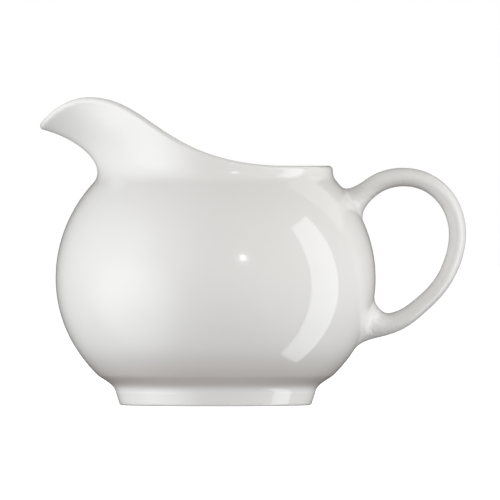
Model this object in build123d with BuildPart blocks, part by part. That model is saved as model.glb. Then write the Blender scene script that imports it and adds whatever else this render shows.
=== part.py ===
"""Porcelain cream jug, in millimetres, +Z up.

A round-bellied bowl stands on a low foot ring.  Its neck carries a collar that is drawn out at the
front into a beaked pouring lip, and a loop handle is luted to the back with slip.  The origin is the
centre of the foot ring's bearing face; the lip points along -X and the handle along +X.
"""
import os
from math import asin, cos, degrees, radians, sin, sqrt

from build123d import *

os.makedirs("parts", exist_ok=True)

# Bowl: its outside and its cavity are half ellipses that share the belly's level
BELLY_R = 44.0
BELLY_Z = 34.8
BELLY_RISE = 40.8
BELLY_DROP = 39.3
CAVITY_R = 41.2
CAVITY_RISE = 38.0
CAVITY_DROP = 36.5
NECK_Z = 61.0
FLARE_Z = 8.4
FLARE_PULL = 1.9
FLARE_OUT = 0.3
FLARE_UP = 2.5
FLOOR_Z = 6.6
FLOOR_FILLET_R = 9.0

# Foot ring
FOOT_H = 3.4
FOOT_TOP_R = 27.4
FOOT_BASE_R = 26.3
FOOT_INNER_TOP_R = 23.0
FOOT_INNER_BASE_R = 23.5
FOOT_EDGE_R = 0.9

# Pouring lip: the rim is a round bead, and these set its centre line
RIM_T = 2.2
COLLAR_R = 31.1
RISE_X = 20.0
RISE_Z = 64.7
RISE_PULL_X = -14.4
CREST_X = -34.6
CREST_Z = 83.5
CREST_PULL_X = -18.2
BEAK_PULL_X = -35.6
TIP_PULL_X = -41.8
TIP_X = -47.15
TIP_Z = 76.8
TIP_LEAN = 76.0
LIP_SHARPNESS = 28
NECK_PULL = 0.34
THROAT_PULL = 0.2
RIM_PULL = 0.48
RIB_STEP = 6
BISECTIONS = 40

# Handle: centre line from the shoulder, over the top and down to the belly
HANDLE_LINE = (
    (35.1, 52.3),
    (39.5, 56.9),
    (44.6, 61.0),
    (51.4, 62.7),
    (58.2, 61.2),
    (63.6, 56.5),
    (66.45, 48.5),
    (65.4, 40.3),
    (61.6, 32.8),
    (56.0, 27.1),
    (50.4, 23.3),
    (44.5, 22.0),
    (38.5, 22.4),
)
HANDLE_TOP_T = 5.4
HANDLE_THIN_T = 4.45
HANDLE_THIN_AT = 0.68
HANDLE_SPREAD_T = 4.4
HANDLE_SPREAD_W = 3.0
HANDLE_W = 7.4
HANDLE_STATIONS = 25

# Lutes: slip collars that spread from the handle's two ends onto the bowl.  Root and end are
# fractions of the handle's length, and shift moves the foot towards the outside of the loop.
LUTE_SKIN = 0.25
LUTE_STATIONS = 8
UPPER_LUTE = {
    "name": "upper_handle_lute",
    "foot_z": 55.5,
    "direction": 1,
    "root": 0.02,
    "end": 0.125,
    "shift": 0.4,
    "spread_t": 9.6,
    "spread_w": 6.0,
}
LOWER_LUTE = {
    "name": "lower_handle_lute",
    "foot_z": 22.0,
    "direction": -1,
    "root": 0.985,
    "end": 0.88,
    "shift": -1.8,
    "spread_t": 8.4,
    "spread_w": 5.0,
}


def ellipse_r(radius, semi_axis, z):
    """Radius at height z of a half ellipse about the belly's level."""
    return radius * sqrt(1 - ((z - BELLY_Z) / semi_axis) ** 2)


def ellipse_angle(semi_axis, z):
    """Angle of an ellipse arc from the belly's level to height z."""
    return degrees(asin((z - BELLY_Z) / semi_axis))


def ellipse_tangent(radius, semi_axis, z):
    """Unit vector up along that half ellipse at height z, as (r, z)."""
    slope = -((radius / semi_axis) ** 2) * (z - BELLY_Z) / ellipse_r(radius, semi_axis, z)
    return Vector(slope, 1).normalized()


def handle_spread(t):
    """How far the handle has spread towards its lower root, from 0 to 1, at a fraction t of its length."""
    return max(0.0, (t - HANDLE_THIN_AT) / (1 - HANDLE_THIN_AT)) ** 3


def handle_thickness(t):
    """Thickness of the handle; it thins down the loop and spreads at the lower root."""
    taper = min(t / HANDLE_THIN_AT, 1.0)
    return HANDLE_TOP_T + (HANDLE_THIN_T - HANDLE_TOP_T) * taper + HANDLE_SPREAD_T * handle_spread(t)


def handle_width(t):
    return HANDLE_W + HANDLE_SPREAD_W * handle_spread(t)


def bezier_point(points, t):
    """Point of a cubic Bezier curve."""
    weights = ((1 - t) ** 3, 3 * t * (1 - t) ** 2, 3 * t**2 * (1 - t), t**3)
    return tuple(sum(w * point[i] for w, point in zip(weights, points)) for i in (0, 1))


# Bowl -----------------------------------------------------------------------------------------------
belly_center = (0, BELLY_Z)
neck_outer = Vector(ellipse_r(BELLY_R, BELLY_RISE, NECK_Z), NECK_Z)
neck_inner = Vector(ellipse_r(CAVITY_R, CAVITY_RISE, NECK_Z), NECK_Z)
flare_top = Vector(ellipse_r(BELLY_R, BELLY_DROP, FLARE_Z), FLARE_Z)
floor_edge = Vector(ellipse_r(CAVITY_R, CAVITY_DROP, FLOOR_Z), FLOOR_Z)
belly_drop_arc = ellipse_angle(BELLY_DROP, FLARE_Z)
belly_rise_arc = ellipse_angle(BELLY_RISE, NECK_Z)
cavity_drop_arc = ellipse_angle(CAVITY_DROP, FLOOR_Z)
cavity_rise_arc = ellipse_angle(CAVITY_RISE, NECK_Z)

# The bowl's outer form, solid, which also trims the handle and its lutes
with BuildPart() as bowl_form:
    with BuildSketch(Plane.XZ):
        with BuildLine():
            Bezier(
                (FOOT_TOP_R, FOOT_H),
                (FOOT_TOP_R + FLARE_OUT, FOOT_H + FLARE_UP),
                flare_top - ellipse_tangent(BELLY_R, BELLY_DROP, FLARE_Z) * FLARE_PULL,
                flare_top,
            )
            EllipticalCenterArc(
                belly_center, BELLY_R, BELLY_DROP, start_angle=belly_drop_arc, arc_size=-belly_drop_arc
            )
            EllipticalCenterArc(belly_center, BELLY_R, BELLY_RISE, arc_size=belly_rise_arc)
            Polyline(neck_outer, (0, NECK_Z), (0, FOOT_H), (FOOT_TOP_R, FOOT_H))
        make_face()
    revolve(axis=Axis.Z)

with BuildPart() as bowl:
    add(bowl_form.part)
    with BuildSketch(Plane.XZ):
        with BuildLine():
            EllipticalCenterArc(
                belly_center, CAVITY_R, CAVITY_DROP, start_angle=cavity_drop_arc, arc_size=-cavity_drop_arc
            )
            EllipticalCenterArc(belly_center, CAVITY_R, CAVITY_RISE, arc_size=cavity_rise_arc)
            Polyline(neck_inner, (0, NECK_Z), (0, FLOOR_Z), floor_edge)
        make_face()
    revolve(axis=Axis.Z, mode=Mode.SUBTRACT)
    floor_circle = bowl.edges().filter_by(GeomType.CIRCLE).group_by(Axis.Z)[1]
    fillet(floor_circle, FLOOR_FILLET_R)
bowl.part.label = "bowl"
export_step(bowl.part, "parts/bowl.step")

# Foot ring ------------------------------------------------------------------------------------------
with BuildPart() as foot_ring:
    with BuildSketch(Plane.XZ):
        with BuildLine():
            Polyline(
                (FOOT_INNER_BASE_R, 0),
                (FOOT_BASE_R, 0),
                (FOOT_TOP_R, FOOT_H),
                (FOOT_INNER_TOP_R, FOOT_H),
                close=True,
            )
        make_face()
    revolve(axis=Axis.Z)
    fillet(foot_ring.edges().filter_by(GeomType.CIRCLE).group_by(Axis.Z)[0], FOOT_EDGE_R)
foot_ring.part.label = "foot_ring"
export_step(foot_ring.part, "parts/foot_ring.step")


# Pouring lip ----------------------------------------------------------------------------------------
def rim_height(x):
    """Height of the rim's centre line over the point x of the jug's length."""
    if x >= RISE_X:
        return RISE_Z
    rise = ((RISE_X, RISE_Z), (RISE_PULL_X, RISE_Z), (CREST_PULL_X, CREST_Z), (CREST_X, CREST_Z))
    beak = ((CREST_X, CREST_Z), (BEAK_PULL_X, CREST_Z), (TIP_PULL_X, CREST_Z), (TIP_X, TIP_Z))
    curve = rise if x > CREST_X else beak
    low, high = 0.0, 1.0
    for _ in range(BISECTIONS):
        middle = (low + high) / 2
        if bezier_point(curve, middle)[0] > x:
            low = middle
        else:
            high = middle
    return bezier_point(curve, low)[1]


def draw_rib(angle):
    """Upright section of the collar and lip, at an angle from the front, as (r, z) lines."""
    bulge = ((1 + cos(radians(angle))) / 2) ** LIP_SHARPNESS
    rim_r = COLLAR_R + (-TIP_X - COLLAR_R) * bulge
    lean = radians(TIP_LEAN * bulge)
    center = Vector(rim_r, rim_height(-rim_r * cos(radians(angle))))
    along = Vector(sin(lean), cos(lean))
    across = Vector(-cos(lean), sin(lean)) * (RIM_T / 2)
    outer = center - across
    inner = center + across
    outer_rise = (outer - neck_outer).length
    inner_rise = (inner - neck_inner).length
    Bezier(
        neck_outer,
        neck_outer + ellipse_tangent(BELLY_R, BELLY_RISE, NECK_Z) * outer_rise * NECK_PULL,
        outer - along * outer_rise * RIM_PULL,
        outer,
    )
    ThreePointArc(outer, center + along * (RIM_T / 2), inner)
    Bezier(
        inner,
        inner - along * inner_rise * RIM_PULL,
        neck_inner + ellipse_tangent(CAVITY_R, CAVITY_RISE, NECK_Z) * inner_rise * THROAT_PULL,
        neck_inner,
    )
    Line(neck_inner, neck_outer)


with BuildPart() as pouring_lip:
    # One rib past each end keeps the halves smooth where they meet
    for angle in range(-RIB_STEP, 180 + 2 * RIB_STEP, RIB_STEP):
        outward = Vector(-cos(radians(angle)), sin(radians(angle)), 0)
        with BuildSketch(Plane(origin=(0, 0, 0), x_dir=outward, z_dir=outward.cross(Vector(0, 0, 1)))):
            with BuildLine():
                draw_rib(angle)
            make_face()
    loft()
    split(bisect_by=Plane.XZ, keep=Keep.BOTTOM)
    mirror(about=Plane.XZ)
pouring_lip.part.label = "pouring_lip"
export_step(pouring_lip.part, "parts/pouring_lip.step")

# Handle ---------------------------------------------------------------------------------------------
handle_path = Plane.XZ * Spline(*HANDLE_LINE)


def handle_plane(t):
    """Plane across the handle at a fraction t of its length; its x runs along the jug's Y."""
    return Plane(origin=handle_path @ t, x_dir=(0, 1, 0), z_dir=handle_path % t)


with BuildPart() as handle:
    for station in range(HANDLE_STATIONS):
        along = station / (HANDLE_STATIONS - 1)
        with BuildSketch(handle_plane(along)):
            Ellipse(handle_width(along) / 2, handle_thickness(along) / 2)
    loft()
    add(bowl_form.part, mode=Mode.SUBTRACT)
handle.part.label = "handle"
export_step(handle.part, "parts/handle.step")

# Lutes ----------------------------------------------------------------------------------------------
for lute in (UPPER_LUTE, LOWER_LUTE):
    semi_axis = BELLY_RISE if lute["foot_z"] > BELLY_Z else BELLY_DROP
    wall = ellipse_tangent(BELLY_R, semi_axis, lute["foot_z"])
    wall_normal = Vector(wall.Y, 0, -wall.X) * lute["direction"]
    with BuildPart() as lute_collar:
        for station in range(LUTE_STATIONS):
            reach = station / (LUTE_STATIONS - 1)
            along = lute["root"] + (lute["end"] - lute["root"]) * reach
            spread = (1 - reach) ** 3
            facing = (handle_path % along) * (1 - spread) + wall_normal * spread
            width = handle_width(along) + 2 * LUTE_SKIN + lute["spread_w"] * spread
            thickness = handle_thickness(along) + 2 * LUTE_SKIN + lute["spread_t"] * spread
            with BuildSketch(Plane(origin=handle_path @ along, x_dir=(0, 1, 0), z_dir=facing)):
                with Locations((0, lute["shift"] * spread)):
                    Ellipse(width / 2, thickness / 2)
        loft()
        add(bowl_form.part, mode=Mode.SUBTRACT)
        add(handle.part, mode=Mode.SUBTRACT)
    lute_collar.part.label = lute["name"]
    export_step(lute_collar.part, f"parts/{lute['name']}.step")
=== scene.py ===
from math import asin, cos, pi, radians, sin, sqrt

import bpy
import numpy as np
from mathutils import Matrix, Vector


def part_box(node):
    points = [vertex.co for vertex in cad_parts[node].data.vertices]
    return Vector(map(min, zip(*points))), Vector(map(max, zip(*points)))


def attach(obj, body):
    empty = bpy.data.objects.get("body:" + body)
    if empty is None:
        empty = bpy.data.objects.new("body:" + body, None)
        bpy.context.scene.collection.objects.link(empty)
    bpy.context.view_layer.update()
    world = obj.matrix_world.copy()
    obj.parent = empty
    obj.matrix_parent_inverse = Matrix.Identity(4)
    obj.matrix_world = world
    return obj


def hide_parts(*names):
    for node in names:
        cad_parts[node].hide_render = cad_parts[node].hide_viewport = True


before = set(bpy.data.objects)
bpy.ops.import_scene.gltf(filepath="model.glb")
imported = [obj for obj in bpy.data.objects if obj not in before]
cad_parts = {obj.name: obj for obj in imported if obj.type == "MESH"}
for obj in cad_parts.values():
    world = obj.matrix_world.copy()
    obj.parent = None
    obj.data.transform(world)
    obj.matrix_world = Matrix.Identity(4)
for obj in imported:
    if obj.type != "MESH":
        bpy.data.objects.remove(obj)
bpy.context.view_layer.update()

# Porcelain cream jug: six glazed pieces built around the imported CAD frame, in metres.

MM = 0.001

# ---------------------------------------------------------------------------------------------------
# Sizes: the outer ones come from the frame, the rest are the design's own
# ---------------------------------------------------------------------------------------------------
bowl_low, bowl_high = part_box("bowl")
foot_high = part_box("foot_ring")[1]

BELLY_R = 44.0 * MM
BELLY_Z = 34.8 * MM
BELLY_RISE = 40.8 * MM
BELLY_DROP = 39.3 * MM
CAVITY_R = 41.2 * MM
CAVITY_RISE = 38.0 * MM
CAVITY_DROP = 36.5 * MM
NECK_Z = bowl_high.z
FLARE_Z = 8.4 * MM
FLARE_PULL = 1.9 * MM
FLARE_OUT = 0.3 * MM
FLARE_UP = 2.5 * MM
FLOOR_Z = 6.6 * MM
FLOOR_FILLET_R = 9.0 * MM

FOOT_H = bowl_low.z
FOOT_TOP_R = foot_high.x
FOOT_BASE_R = 26.3 * MM
FOOT_INNER_TOP_R = 23.0 * MM
FOOT_INNER_BASE_R = 23.5 * MM
FOOT_EDGE_R = 0.9 * MM
BARE_H = 0.12 * MM

RIM_T = 2.2 * MM
COLLAR_R = 31.1 * MM
RISE = ((20.0, 64.7), (-14.4, 64.7), (-18.2, 83.5), (-34.6, 83.5))
BEAK = ((-34.6, 83.5), (-35.6, 83.5), (-41.8, 83.5), (-47.15, 76.8))
TIP_R = 47.15 * MM
TIP_LEAN = radians(76.0)
LIP_SHARPNESS = 28
NECK_PULL = 0.34
THROAT_PULL = 0.2
RIM_PULL = 0.48

HANDLE_LINE = (
    (35.1, 52.3),
    (39.5, 56.9),
    (44.6, 61.0),
    (51.4, 62.7),
    (58.2, 61.2),
    (63.6, 56.5),
    (66.45, 48.5),
    (65.4, 40.3),
    (61.6, 32.8),
    (56.0, 27.1),
    (50.4, 23.3),
    (44.5, 22.0),
    (38.5, 22.4),
)
HANDLE_TOP_T = 5.4 * MM
HANDLE_THIN_T = 4.45 * MM
HANDLE_THIN_AT = 0.68
HANDLE_SPREAD_T = 4.4 * MM
HANDLE_SPREAD_W = 3.0 * MM
HANDLE_W = 7.4 * MM

# Lutes: the handle's ends spread onto the bowl.  Along is where the spread starts on the handle, as a
# fraction of its length; the foot is an oval on the bowl, up and down from the height foot_z.  Pull
# is how far the spread follows the handle and the wall, as shares of its length.
UPPER_LUTE = {
    "name": "upper_handle_lute",
    "along": 0.125,
    "foot_z": 55.5 * MM,
    "foot_out": 5.6 * MM,
    "foot_in": 6.0 * MM,
    "foot_wide": 6.8 * MM,
    "turn": 1,
    "pull": (0.38, 0.32),
}
LOWER_LUTE = {
    "name": "lower_handle_lute",
    "along": 0.88,
    "foot_z": 22.0 * MM,
    "foot_out": 7.4 * MM,
    "foot_in": 8.6 * MM,
    "foot_wide": 8.6 * MM,
    "turn": -1,
    "pull": (0.38, 0.32),
}

# Mesh density: points along each curve or round each section
TURN_STEPS = 256
FLARE_STEPS = 24
WALL_STEPS = 120
CAVITY_STEPS = 110
CORNER_STEPS = 16
FLOOR_STEPS = 8
FOOT_OUTER_STEPS = 8
FOOT_INNER_STEPS = 6
FOOT_EDGE_STEPS = 12
ARC_STEPS = 48
BEAD_STEPS = 17
HANDLE_STEPS = 180
SECTION_STEPS = 64
LUTE_STEPS = 28
HALVINGS = 40
SHARP_ANGLE = radians(40)

# Joints out of sight: the handle's ends run on inside the lutes, this much shorter or longer, and each
# lute is closed through the wall by rings of its foot, as (scale, depth below the wall in HIDDENs).
HIDDEN = 0.25 * MM
HANDLE_RUN_ON = (0.01, 0.03)
LUTE_TUCK = ((1.01, 0.02), (1.02, 0.2), (1.03, 1), (0.8, 4), (0.3, 4))
LUTE_LEAVE = 0.004
FOOT_LEAVE = 1.02


# ---------------------------------------------------------------------------------------------------
# Curves
# ---------------------------------------------------------------------------------------------------
def ellipse_r(radius, rise, drop, z):
    """Radius at height z of a form made of two half ellipses about the belly's level."""
    semi_axis = rise if z > BELLY_Z else drop
    return radius * sqrt(max(0.0, 1 - ((z - BELLY_Z) / semi_axis) ** 2))


def outer_r(z):
    return ellipse_r(BELLY_R, BELLY_RISE, BELLY_DROP, z)


def cavity_r(z):
    return ellipse_r(CAVITY_R, CAVITY_RISE, CAVITY_DROP, z)


def slope_at(profile, z):
    """Unit vector up along a profile r(z)."""
    step = 0.01 * MM
    return Vector((profile(z + step) - profile(z - step), 2 * step)).normalized()


def ellipse_arc(radius, rise, drop, low, high, count):
    """Points of the profile from height low to high, spaced evenly by angle."""
    def angle(z):
        return asin((z - BELLY_Z) / (rise if z > BELLY_Z else drop))

    points = []
    for a in np.linspace(angle(low), angle(high), count):
        points.append(Vector((radius * cos(a), BELLY_Z + (rise if a > 0 else drop) * sin(a))))
    return points


def bezier(p0, p1, p2, p3, count):
    """Points of a cubic Bezier curve, in any dimension."""
    points = []
    for t in np.linspace(0, 1, count):
        u = 1 - t
        points.append(p0 * u**3 + p1 * (3 * t * u**2) + p2 * (3 * t**2 * u) + p3 * t**3)
    return points


def arc(center, radius, start, end, count):
    """Points of a circular arc between two angles."""
    return [center + Vector((cos(a), sin(a))) * radius for a in np.linspace(start, end, count)]


def fillet(before, corner, after, radius, count):
    """Points of an arc that rounds a corner between two straight runs."""
    arm_a = (before - corner).normalized()
    arm_b = (after - corner).normalized()
    half = arm_a.angle(arm_b) / 2
    center = corner + (arm_a + arm_b).normalized() * (radius / sin(half))
    touch_a = corner + arm_a * (radius / np.tan(half)) - center
    touch_b = corner + arm_b * (radius / np.tan(half)) - center
    points = []
    for t in np.linspace(0, 1, count):
        points.append(center + touch_a.lerp(touch_b, t).normalized() * radius)
    return points


class SmoothLine:
    """Natural cubic spline through points of the jug's middle plane, by chord length from 0 to 1."""

    def __init__(self, points):
        self.p = np.array(points) * MM
        chord = np.linalg.norm(np.diff(self.p, axis=0), axis=1)
        self.u = np.concatenate(([0], np.cumsum(chord))) / chord.sum()
        n = len(self.u)
        h = np.diff(self.u)
        matrix = np.eye(n)
        side = np.zeros((n, 2))
        for i in range(1, n - 1):
            matrix[i, i - 1 : i + 2] = (h[i - 1], 2 * (h[i - 1] + h[i]), h[i])
            side[i] = 6 * ((self.p[i + 1] - self.p[i]) / h[i] - (self.p[i] - self.p[i - 1]) / h[i - 1])
        self.bend = np.linalg.solve(matrix, side)

    def at(self, t):
        """Position and unit tangent at a fraction t."""
        i = min(max(int(np.searchsorted(self.u, t)) - 1, 0), len(self.u) - 2)
        h = self.u[i + 1] - self.u[i]
        a = (self.u[i + 1] - t) / h
        b = 1 - a
        low, high = self.bend[i], self.bend[i + 1]
        place = a * self.p[i] + b * self.p[i + 1] + ((a**3 - a) * low + (b**3 - b) * high) * h**2 / 6
        rate = (self.p[i + 1] - self.p[i]) / h + ((1 - 3 * a**2) * low + (3 * b**2 - 1) * high) * h / 6
        return Vector((place[0], 0, place[1])), Vector((rate[0], 0, rate[1])).normalized()


# ---------------------------------------------------------------------------------------------------
# Meshes
# ---------------------------------------------------------------------------------------------------
def build_piece(name, vertices, faces, node, materials, face_materials=None):
    """A closed, smooth-shaded mesh that stands for a CAD node and rides on the root body."""
    mesh = bpy.data.meshes.new(name)
    mesh.from_pydata([tuple(v) for v in vertices], [], faces)
    mesh.validate()
    for material in materials:
        mesh.materials.append(material)
    if face_materials is not None:
        mesh.polygons.foreach_set("material_index", face_materials)
    piece = bpy.data.objects.new(name, mesh)
    bpy.context.scene.collection.objects.link(piece)
    mesh.shade_smooth()
    mesh.set_sharp_from_angle(angle=SHARP_ANGLE)
    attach(piece, "root")
    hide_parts(node)
    return piece


def turned(profile, closed):
    """Vertices and faces of a profile of (r, z) points turned about Z.  A closed profile is a ring's
    section; an open one starts and ends on the axis, and gets one vertex at each end."""
    inner = profile if closed else profile[1:-1]
    count = len(inner)
    vertices = []
    for k in range(TURN_STEPS):
        a = 2 * pi * k / TURN_STEPS
        vertices += [(p.x * cos(a), p.x * sin(a), p.y) for p in inner]
    faces = []
    for k in range(TURN_STEPS):
        here = k * count
        there = (k + 1) % TURN_STEPS * count
        for i in range(count if closed else count - 1):
            j = (i + 1) % count
            faces.append((here + i, there + i, there + j, here + j))
    if not closed:
        first = len(vertices)
        vertices += [(0, 0, profile[0].y), (0, 0, profile[-1].y)]
        for k in range(TURN_STEPS):
            here = k * count
            there = (k + 1) % TURN_STEPS * count
            faces.append((first, there, here))
            faces.append((first + 1, here + count - 1, there + count - 1))
    return vertices, faces


def ringed(rings):
    """Vertices and faces of a torus-like grid: rings of equal length, closed both ways."""
    count = len(rings[0])
    total = len(rings)
    vertices = [p for ring in rings for p in ring]
    faces = []
    for k in range(total):
        here = k * count
        there = (k + 1) % total * count
        for i in range(count):
            j = (i + 1) % count
            faces.append((here + i, here + j, there + j, there + i))
    return vertices, faces


# ---------------------------------------------------------------------------------------------------
# Bowl and foot ring
# ---------------------------------------------------------------------------------------------------
def neck_points():
    return Vector((outer_r(NECK_Z), NECK_Z)), Vector((cavity_r(NECK_Z), NECK_Z))


def make_bowl(glaze):
    flare_top = Vector((outer_r(FLARE_Z), FLARE_Z))
    foot_joint = Vector((FOOT_TOP_R, FOOT_H))
    flare = bezier(
        foot_joint,
        foot_joint + Vector((FLARE_OUT, FLARE_UP)),
        flare_top - slope_at(outer_r, FLARE_Z) * FLARE_PULL,
        flare_top,
        FLARE_STEPS,
    )
    wall = ellipse_arc(BELLY_R, BELLY_RISE, BELLY_DROP, FLARE_Z, NECK_Z, WALL_STEPS)
    floor_edge = Vector((cavity_r(FLOOR_Z), FLOOR_Z))
    corner = fillet(
        floor_edge + slope_at(cavity_r, FLOOR_Z),
        floor_edge,
        Vector((0, FLOOR_Z)),
        FLOOR_FILLET_R,
        CORNER_STEPS,
    )
    inside = ellipse_arc(CAVITY_R, CAVITY_RISE, CAVITY_DROP, corner[0].y, NECK_Z, CAVITY_STEPS)[::-1]
    underside = [Vector((FOOT_INNER_TOP_R * share, FOOT_H)) for share in (0, 0.5, 1)]
    floor = [Vector((r, FLOOR_Z)) for r in np.linspace(corner[-1].x, 0, FLOOR_STEPS)]
    profile = underside + flare + wall[1:] + inside + corner[1:] + floor[1:]
    vertices, faces = turned(profile, closed=False)
    return build_piece("bowl_body", vertices, faces, "bowl", [glaze])


def make_foot_ring(glaze, biscuit):
    outer_base = Vector((FOOT_BASE_R, 0))
    inner_base = Vector((FOOT_INNER_BASE_R, 0))
    outer_top = Vector((FOOT_TOP_R, FOOT_H))
    inner_top = Vector((FOOT_INNER_TOP_R, FOOT_H))
    profile = [outer_top]
    profile += [outer_top.lerp(outer_base, t) for t in np.linspace(0, 0.6, FOOT_OUTER_STEPS)[1:]]
    profile += fillet(outer_top, outer_base, inner_base, FOOT_EDGE_R, FOOT_EDGE_STEPS)
    profile += [outer_base.lerp(inner_base, 0.5)]
    profile += fillet(outer_base, inner_base, inner_top, FOOT_EDGE_R, FOOT_EDGE_STEPS)
    profile += [inner_base.lerp(inner_top, t) for t in np.linspace(0.5, 1, FOOT_INNER_STEPS)]
    profile += [inner_top.lerp(outer_top, 0.5)]
    vertices, faces = turned(profile[::-1], closed=True)
    marks = [1 if all(vertices[v][2] < BARE_H for v in face) else 0 for face in faces]
    return build_piece("foot_ring_body", vertices, faces, "foot_ring", [glaze, biscuit], marks)


# ---------------------------------------------------------------------------------------------------
# Pouring lip
# ---------------------------------------------------------------------------------------------------
def rim_height(x):
    """Height of the rim bead's centre over the point x of the jug's length."""
    rise = [Vector(p) * MM for p in RISE]
    beak = [Vector(p) * MM for p in BEAK]
    if x >= rise[0].x:
        return rise[0].y
    curve = rise if x > rise[-1].x else beak
    low, high = 0.0, 1.0
    for _ in range(HALVINGS):
        t = (low + high) / 2
        u = 1 - t
        here = curve[0] * u**3 + curve[1] * (3 * t * u**2) + curve[2] * (3 * t**2 * u) + curve[3] * t**3
        if here.x > x:
            low = t
        else:
            high = t
    return here.y


def lip_rib(angle):
    """Closed section of the collar and lip, as (r, z) points, at an angle from the front."""
    neck_out, neck_in = neck_points()
    bulge = ((1 + cos(angle)) / 2) ** LIP_SHARPNESS
    rim_r = COLLAR_R + (TIP_R - COLLAR_R) * bulge
    lean = TIP_LEAN * bulge
    center = Vector((rim_r, rim_height(-rim_r * cos(angle))))
    along = Vector((sin(lean), cos(lean)))
    across = Vector((-cos(lean), sin(lean))) * (RIM_T / 2)
    outer = center - across
    inner = center + across
    outer_rise = (outer - neck_out).length
    inner_rise = (inner - neck_in).length
    outside = bezier(
        neck_out,
        neck_out + slope_at(outer_r, NECK_Z) * (outer_rise * NECK_PULL),
        outer - along * (outer_rise * RIM_PULL),
        outer,
        ARC_STEPS,
    )
    inside = bezier(
        inner,
        inner - along * (inner_rise * RIM_PULL),
        neck_in + slope_at(cavity_r, NECK_Z) * (inner_rise * THROAT_PULL),
        neck_in,
        ARC_STEPS,
    )
    bead = arc(center, RIM_T / 2, -lean, pi - lean, BEAD_STEPS)
    return outside + bead[1:-1] + inside + [neck_in.lerp(neck_out, 0.5)]


def make_pouring_lip(glaze):
    rings = []
    for k in range(TURN_STEPS):
        angle = 2 * pi * k / TURN_STEPS
        rings.append([(-p.x * cos(angle), p.x * sin(angle), p.y) for p in lip_rib(angle)])
    vertices, faces = ringed(rings)
    return build_piece("pouring_lip_body", vertices, faces, "pouring_lip", [glaze])


# ---------------------------------------------------------------------------------------------------
# Handle and lutes
# ---------------------------------------------------------------------------------------------------
handle_line = SmoothLine(HANDLE_LINE)


def handle_spread(t):
    """How far the handle has spread towards its lower root, 0 to 1, at a fraction t of its length."""
    return max(0.0, (t - HANDLE_THIN_AT) / (1 - HANDLE_THIN_AT)) ** 3


def handle_point(t, turn, sink=0.0):
    """Point of the handle's skin at a fraction t of its length and an angle round its section, sunk
    below the skin by a distance."""
    center, along = handle_line.at(t)
    outward = Vector((-along.z, 0, along.x))
    spread = handle_spread(t)
    thick = HANDLE_TOP_T + (HANDLE_THIN_T - HANDLE_TOP_T) * min(t / HANDLE_THIN_AT, 1)
    thick += HANDLE_SPREAD_T * spread
    wide = HANDLE_W + HANDLE_SPREAD_W * spread
    side = Vector((0, wide / 2 - sink, 0)) * cos(turn)
    return center + side + outward * ((thick / 2 - sink) * sin(turn))


def make_handle(glaze):
    """The loop between the two lutes; its ends run on inside them, sunk below their skin."""
    start, end = UPPER_LUTE["along"], LOWER_LUTE["along"]
    near, far = HANDLE_RUN_ON
    stations = [(t, 0.0) for t in np.linspace(start, end, HANDLE_STEPS)]
    stations = [(start - far, HIDDEN), (start - near, HIDDEN)] + stations
    stations += [(end + near, HIDDEN), (end + far, HIDDEN)]
    rings = []
    for t, sink in stations:
        rings.append([handle_point(t, 2 * pi * k / SECTION_STEPS, sink) for k in range(SECTION_STEPS)])
    vertices, faces = ringed(rings)
    last = (len(stations) - 1) * SECTION_STEPS
    faces = faces[:last]
    for first, t, flip in ((0, stations[0][0], True), (last, stations[-1][0], False)):
        center = len(vertices)
        vertices.append(handle_line.at(t)[0])
        for k in range(SECTION_STEPS):
            here, there = first + k, first + (k + 1) % SECTION_STEPS
            faces.append((center, there, here) if flip else (center, here, there))
    return build_piece("handle_loop", vertices, faces, "handle", [glaze])


def bowl_point(lute, turn, scale, sink=0.0):
    """Point of a lute's oval foot on the bowl's outside, at an angle round it."""
    reach = lute["foot_out"] if sin(turn) > 0 else lute["foot_in"]
    meridian = slope_at(outer_r, lute["foot_z"])
    z = lute["foot_z"] + lute["turn"] * reach * scale * sin(turn) * meridian.y
    r = outer_r(z)
    a = lute["foot_wide"] * scale * cos(turn) / r
    wall = slope_at(outer_r, z)
    normal = Vector((wall.y * cos(a), wall.y * sin(a), -wall.x))
    return Vector((r * cos(a), r * sin(a), z)) - normal * sink


def make_lute(lute, glaze):
    """Trumpet that leaves the handle along its skin and meets the bowl along its wall, closed through
    the hidden inside of the joint."""
    before = lute["along"] + lute["turn"] * LUTE_LEAVE
    handle_pull, wall_pull = lute["pull"]
    strips = []
    for k in range(SECTION_STEPS):
        turn = 2 * pi * k / SECTION_STEPS
        start = handle_point(lute["along"], turn)
        start_way = (start - handle_point(before, turn)).normalized()
        foot = bowl_point(lute, turn, 1.0)
        foot_way = (bowl_point(lute, turn, FOOT_LEAVE) - foot).normalized()
        reach = (foot - start).length
        strip = bezier(
            start,
            start + start_way * (reach * handle_pull),
            foot - foot_way * (reach * wall_pull),
            foot,
            LUTE_STEPS,
        )
        strip += [bowl_point(lute, turn, scale, depth * HIDDEN) for scale, depth in LUTE_TUCK]
        strip += [handle_point(lute["along"], turn, depth * HIDDEN) for depth in (5, 3)]
        strip.append(handle_point(before, turn, HIDDEN))
        strips.append(strip)
    if lute["turn"] < 0:
        strips.reverse()
    vertices, faces = ringed(strips)
    return build_piece(lute["name"] + "_body", vertices, faces, lute["name"], [glaze])


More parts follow.
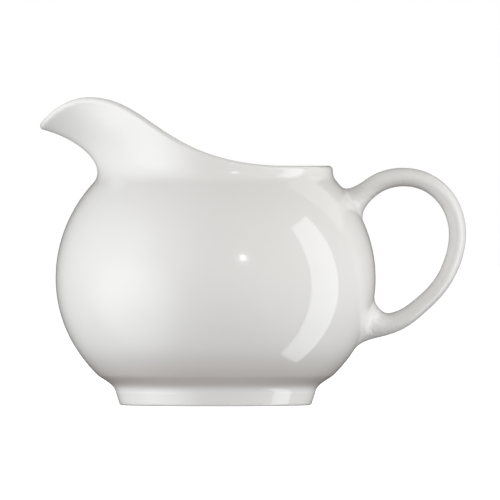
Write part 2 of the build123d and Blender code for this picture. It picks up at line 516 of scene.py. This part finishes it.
# ---------------------------------------------------------------------------------------------------
# Materials
# ---------------------------------------------------------------------------------------------------
# Each tint is two (noise value, colour) stops, each relief is a bump's strength and depth in metres,
# and the noise scales are in features per metre.
BODY_TINT = ((0.3, (0.81, 0.80, 0.78)), (0.7, (0.83, 0.82, 0.80)))
# Painted shade: the darker, greyer tint of the band under the belly above the foot
PAINTED_SHADE_TINT = ((0.3, (0.65, 0.60, 0.57)), (0.7, (0.69, 0.65, 0.62)))
BISCUIT_TINT = ((0.0, (0.62, 0.59, 0.54)), (1.0, (0.74, 0.72, 0.68)))
CLOUD_SCALE = 45.0
WAVE_SCALE = 60.0
SPONGE_SCALE = 800.0
GRAIN_SCALE = 1500.0
GLAZE_ROUGHNESS = 0.06
GLAZE_IOR = 1.52
GLAZE_RELIEF = (0.5, 0.00004)
BISCUIT_ROUGHNESS = 0.75
BISCUIT_RELIEF = (0.3, 0.00005)
ROOTS = ((37.5 * MM, 0, 56.0 * MM), (42.5 * MM, 0, 22.0 * MM))
SPONGE_DEPTH = 14.0
SPONGE_FULL = 3.5 * MM
SPONGE_END = 10.0 * MM
# Heights where the painted shade under the belly starts, is full and ends
PAINTED_SHADE_START = 4.4 * MM
PAINTED_SHADE_FULL = 6.2 * MM
PAINTED_SHADE_END = 18.0 * MM


def new_material(name):
    material = bpy.data.materials.new(name)
    material.use_nodes = True
    nodes = material.node_tree.nodes
    return material, nodes, material.node_tree.links, nodes["Principled BSDF"]


def noise(nodes, links, coords, scale, detail=2.0):
    texture = nodes.new("ShaderNodeTexNoise")
    texture.inputs["Scale"].default_value = scale
    texture.inputs["Detail"].default_value = detail
    links.new(coords.outputs["Object"], texture.inputs["Vector"])
    return texture


def colour_ramp(nodes, links, factor, stops):
    """Colour between two (position, colour) stops, by a noise texture's value."""
    ramp = nodes.new("ShaderNodeValToRGB")
    for element, (position, colour) in zip(ramp.color_ramp.elements, stops):
        element.position = position
        element.color = (*colour, 1)
    links.new(factor.outputs["Fac"], ramp.inputs["Fac"])
    return ramp


def fade(nodes, links, source, start, end):
    """Smooth factor that falls from 1 at start to 0 at end."""
    falloff = nodes.new("ShaderNodeMapRange")
    falloff.interpolation_type = "SMOOTHSTEP"
    falloff.inputs["From Min"].default_value = end
    falloff.inputs["From Max"].default_value = start
    links.new(source, falloff.inputs["Value"])
    return falloff.outputs["Result"]


def combine(nodes, links, operation, a, b):
    """Result of a Math node on two values, each a number or a socket."""
    math = nodes.new("ShaderNodeMath")
    math.operation = operation
    for item, value in zip(math.inputs, (a, b)):
        if isinstance(value, float):
            item.default_value = value
        else:
            links.new(value, item)
    return math.outputs["Value"]


def add_relief(nodes, links, shader, height, strength, distance):
    bump = nodes.new("ShaderNodeBump")
    bump.inputs["Strength"].default_value = strength
    bump.inputs["Distance"].default_value = distance
    links.new(height, bump.inputs["Height"])
    links.new(bump.outputs["Normal"], shader.inputs["Normal"])


def make_glaze():
    """White porcelain under a clear, glossy glaze: a faint cloudiness, painted shade that darkens and
    greys the band under the belly above the foot, slow waves, and sponge marks round the handle's
    roots."""
    material, nodes, links, shader = new_material("porcelain_glaze")
    coords = nodes.new("ShaderNodeTexCoord")
    cloud = noise(nodes, links, coords, CLOUD_SCALE, 3.0)
    body = colour_ramp(nodes, links, cloud, BODY_TINT)
    # Darker, greyer copy of the body's tint, painted as shade under the belly
    painted_shade = colour_ramp(nodes, links, cloud, PAINTED_SHADE_TINT)
    place = nodes.new("ShaderNodeSeparateXYZ")
    links.new(coords.outputs["Object"], place.inputs["Vector"])
    tint = nodes.new("ShaderNodeMix")
    tint.data_type = "RGBA"
    height = place.outputs["Z"]
    # Mask of the painted shade: full just above the foot, fading out up the belly and down to the foot
    below_end = fade(nodes, links, height, PAINTED_SHADE_FULL, PAINTED_SHADE_END)
    above_start = fade(nodes, links, height, PAINTED_SHADE_FULL, PAINTED_SHADE_START)
    links.new(combine(nodes, links, "MULTIPLY", below_end, above_start), tint.inputs["Factor"])
    links.new(body.outputs["Color"], tint.inputs["A"])
    links.new(painted_shade.outputs["Color"], tint.inputs["B"])
    links.new(tint.outputs["Result"], shader.inputs["Base Color"])
    shader.inputs["Roughness"].default_value = GLAZE_ROUGHNESS
    shader.inputs["IOR"].default_value = GLAZE_IOR

    marks = None
    for root in ROOTS:
        away = nodes.new("ShaderNodeVectorMath")
        away.operation = "DISTANCE"
        away.inputs[1].default_value = root
        links.new(coords.outputs["Object"], away.inputs[0])
        near = fade(nodes, links, away.outputs["Value"], SPONGE_FULL, SPONGE_END)
        marks = near if marks is None else combine(nodes, links, "ADD", marks, near)
    sponge = noise(nodes, links, coords, SPONGE_SCALE, 3.0)
    marks = combine(nodes, links, "MULTIPLY", marks, sponge.outputs["Fac"])
    marks = combine(nodes, links, "MULTIPLY", marks, SPONGE_DEPTH)
    waves = noise(nodes, links, coords, WAVE_SCALE)
    relief = combine(nodes, links, "ADD", waves.outputs["Fac"], marks)
    add_relief(nodes, links, shader, relief, *GLAZE_RELIEF)
    return material


def make_biscuit():
    """Bare, polished body on the foot's bearing edge."""
    material, nodes, links, shader = new_material("bare_biscuit")
    coords = nodes.new("ShaderNodeTexCoord")
    grain = noise(nodes, links, coords, GRAIN_SCALE, 4.0)
    tint = colour_ramp(nodes, links, grain, BISCUIT_TINT)
    links.new(tint.outputs["Color"], shader.inputs["Base Color"])
    shader.inputs["Roughness"].default_value = BISCUIT_ROUGHNESS
    add_relief(nodes, links, shader, grain.outputs["Fac"], *BISCUIT_RELIEF)
    return material


# ---------------------------------------------------------------------------------------------------
# Camera, floor and light
# ---------------------------------------------------------------------------------------------------
CAMERA_AWAY = 4.5
CAMERA_X = 9.46 * MM
CAMERA_Z = 66.0 * MM
AIM_Z = 42.65 * MM
FRAME_WIDTH = 137.5 * MM
SENSOR = 36.0
CLIP_END = 100
FLOOR_HALF = 6.0
FLOOR_GREY = 0.6
FLOOR_ROUGHNESS = 0.9
FLOOR_GLOW = 0.85


def aim(item, target):
    item.rotation_euler = (Vector(target) - item.location).to_track_quat("-Z", "Y").to_euler()


def make_camera():
    data = bpy.data.cameras.new("camera")
    data.sensor_width = SENSOR
    data.lens = SENSOR * CAMERA_AWAY / FRAME_WIDTH
    data.clip_end = CLIP_END
    camera = bpy.data.objects.new("camera", data)
    camera.location = (CAMERA_X, -CAMERA_AWAY, CAMERA_Z)
    bpy.context.scene.collection.objects.link(camera)
    aim(camera, (CAMERA_X, 0, AIM_Z))
    bpy.context.scene.camera = camera


def make_floor():
    """White floor that lights itself and is seen by the camera only."""
    mesh = bpy.data.meshes.new("floor")
    signs = ((-1, -1), (1, -1), (1, 1), (-1, 1))
    corners = [(x * FLOOR_HALF, y * FLOOR_HALF, 0) for x, y in signs]
    mesh.from_pydata(corners, [], [(0, 1, 2, 3)])
    floor = bpy.data.objects.new("floor", mesh)
    bpy.context.scene.collection.objects.link(floor)
    material, nodes, links, shader = new_material("floor_white")
    shader.inputs["Base Color"].default_value = (FLOOR_GREY, FLOOR_GREY, FLOOR_GREY, 1)
    shader.inputs["Roughness"].default_value = FLOOR_ROUGHNESS
    shader.inputs["Emission Color"].default_value = (1, 1, 1, 1)
    shader.inputs["Emission Strength"].default_value = FLOOR_GLOW
    mesh.materials.append(material)
    floor.visible_glossy = False
    floor.visible_diffuse = False
    floor.visible_shadow = False


def direction(azimuth, elevation):
    """Unit vector.  Azimuth runs from the camera's side towards the handle's side, in degrees."""
    a, e = radians(azimuth), radians(elevation)
    return Vector((sin(a) * cos(e), -cos(a) * cos(e), sin(e)))


NEUTRAL = (1.0, 1.0, 1.0)
WARM = (1.0, 0.96, 0.9)
AMBER = (1.0, 0.8, 0.6)
COOL = (0.97, 1.0, 1.04)

# Lamps that show as shapes in the glaze: azimuth, elevation, lean, distance, width, height, strength,
# tint
SOFTBOXES = {
    "strip_right": (86, -8, 9, 1.0, 0.46, 2.1, 2.4, COOL),
    "softbox_back_right": (125, 38, 0, 1.0, 0.4, 0.6, 0.7, NEUTRAL),
    "spot_front": (20, 17, 0, 1.0, 0.07, 0.07, 7.0, NEUTRAL),
}
# Wide diffusers, hidden from reflections so that they show no shape: the same values
DIFFUSERS = {
    "diffuser_front": (0, 30, 0, 1.5, 1.2, 1.2, 0.42, NEUTRAL),
    "diffuser_front_low": (0, 5, 0, 1.5, 1.2, 0.8, 0.25, WARM),
    "diffuser_left": (-60, 25, 0, 1.5, 1.2, 1.2, 0.1, COOL),
    "diffuser_right": (65, 25, 0, 1.5, 1.2, 1.2, 0.45, NEUTRAL),
    "diffuser_back": (180, 30, 0, 1.5, 1.6, 1.2, 0.7, NEUTRAL),
    "diffuser_back_low": (180, 0, 0, 1.5, 1.6, 1.2, 0.9, NEUTRAL),
    "diffuser_top": (0, 88, 0, 1.5, 1.2, 1.2, 0.15, NEUTRAL),
}
# Soft glows of the studio's walls: azimuth, elevation, the angles from that direction where each stops
# being full and where it ends, strength, tint
GLOWS = {
    "front": (0, 12, 20, 80, 0.25, WARM),
    "right": (90, 12, 20, 80, 0.35, WARM),
    "back": (180, 5, 20, 80, 0.05, AMBER),
    "left": (-90, 5, 20, 80, 0.48, NEUTRAL),
    "left_core": (-80, 10, 5, 45, 0.52, COOL),
    "left_front": (-50, 10, 5, 45, 0.45, COOL),
    "left_low": (-64, -20, 5, 45, 1.3, COOL),
    "left_high": (-65, 45, 10, 55, 0.1, NEUTRAL),
    "right_front": (50, 5, 10, 60, 0.35, COOL),
    "spot_halo": (20, 17, 0, 8, 1.5, NEUTRAL),
}
BACKDROP = (1.0, 1.0, 1.0)


def make_lamp(name, azimuth, elevation, lean, distance, width, height, strength, tint, shows):
    data = bpy.data.lights.new(name, "AREA")
    data.shape = "RECTANGLE"
    data.size = width
    data.size_y = height
    data.energy = strength * pi * width * height
    data.color = tint
    light = bpy.data.objects.new(name, data)
    light.location = direction(azimuth, elevation) * distance + Vector((0, 0, BELLY_Z))
    bpy.context.scene.collection.objects.link(light)
    aim(light, (0, 0, BELLY_Z))
    light.rotation_euler.rotate_axis("Z", radians(lean))
    light.visible_glossy = shows


def make_studio():
    """World of soft glows round the jug, plain white where the camera looks past it."""
    world = bpy.data.worlds.new("studio")
    bpy.context.scene.world = world
    world.use_nodes = True
    nodes, links = world.node_tree.nodes, world.node_tree.links
    background = nodes["Background"]
    coords = nodes.new("ShaderNodeTexCoord")
    total = None
    for name, (azimuth, elevation, full, end, strength, tint) in GLOWS.items():
        facing = nodes.new("ShaderNodeVectorMath")
        facing.operation = "DOT_PRODUCT"
        facing.inputs[1].default_value = direction(azimuth, elevation)
        links.new(coords.outputs["Generated"], facing.inputs[0])
        falloff = nodes.new("ShaderNodeMapRange")
        falloff.interpolation_type = "SMOOTHSTEP"
        falloff.inputs["From Min"].default_value = cos(radians(end))
        falloff.inputs["From Max"].default_value = cos(radians(full))
        links.new(facing.outputs["Value"], falloff.inputs["Value"])
        glow = nodes.new("ShaderNodeVectorMath")
        glow.name = name
        glow.operation = "SCALE"
        glow.inputs[0].default_value = Vector(tint) * strength
        links.new(falloff.outputs["Result"], glow.inputs["Scale"])
        if total is None:
            total = glow
        else:
            both = nodes.new("ShaderNodeVectorMath")
            links.new(total.outputs["Vector"], both.inputs[0])
            links.new(glow.outputs["Vector"], both.inputs[1])
            total = both
    path = nodes.new("ShaderNodeLightPath")
    seen = nodes.new("ShaderNodeMix")
    seen.data_type = "VECTOR"
    links.new(path.outputs["Is Camera Ray"], seen.inputs["Factor"])
    links.new(total.outputs["Vector"], seen.inputs["A"])
    seen.inputs["B"].default_value = BACKDROP
    links.new(seen.outputs["Result"], background.inputs["Color"])
    for name, values in SOFTBOXES.items():
        make_lamp(name, *values, shows=True)
    for name, values in DIFFUSERS.items():
        make_lamp(name, *values, shows=False)
    bpy.context.scene.view_settings.view_transform = "Standard"


glaze = make_glaze()
biscuit = make_biscuit()
make_camera()
make_bowl(glaze)
make_foot_ring(glaze, biscuit)
make_pouring_lip(glaze)
make_handle(glaze)
for lute in (UPPER_LUTE, LOWER_LUTE):
    make_lute(lute, glaze)
make_floor()
make_studio()
